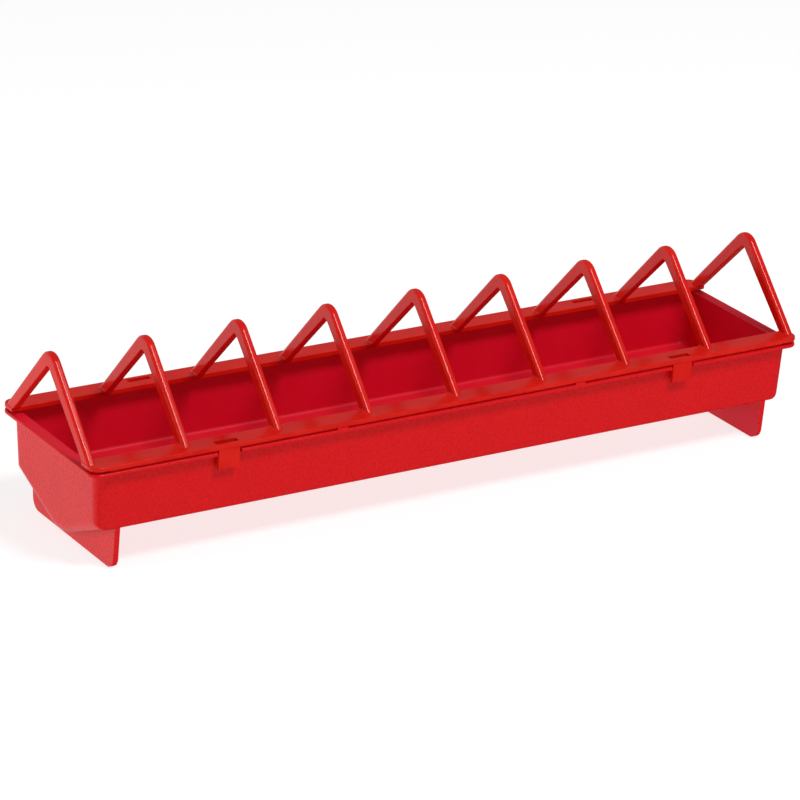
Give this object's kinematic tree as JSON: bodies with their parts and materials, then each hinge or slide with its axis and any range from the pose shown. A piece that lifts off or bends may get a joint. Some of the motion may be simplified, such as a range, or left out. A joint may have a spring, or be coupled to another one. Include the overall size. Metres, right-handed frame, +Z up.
{
  "type": "poultry trough feeder",
  "caption": "Long vee-bottomed poultry feeding trough on two foot plates, with a lift-off grille of triangular arches that keeps birds out of the feed.",
  "frame": {"origin": "centre of the footprint on the floor, midway between the two foot plates", "axes": "+X along the trough, +Y across it towards the back, +Z up through the crowns of the arches"},
  "size_m": [0.5, 0.1176, 0.1199],
  "materials": {
    "trough_plastic": "fine-grained satin red polypropylene",
    "grille_plastic": "semi-gloss red polypropylene"
  },
  "bodies": {
    "trough": {"trough": "trough_plastic"},
    "grille": {"grille": "grille_plastic"}
  },
  "joints": [
    {"name": "grille_lift", "type": "slide", "parent": "trough", "child": "grille", "axis": [0, 0, 1], "range_m": [0, 0.06]}
  ]
}
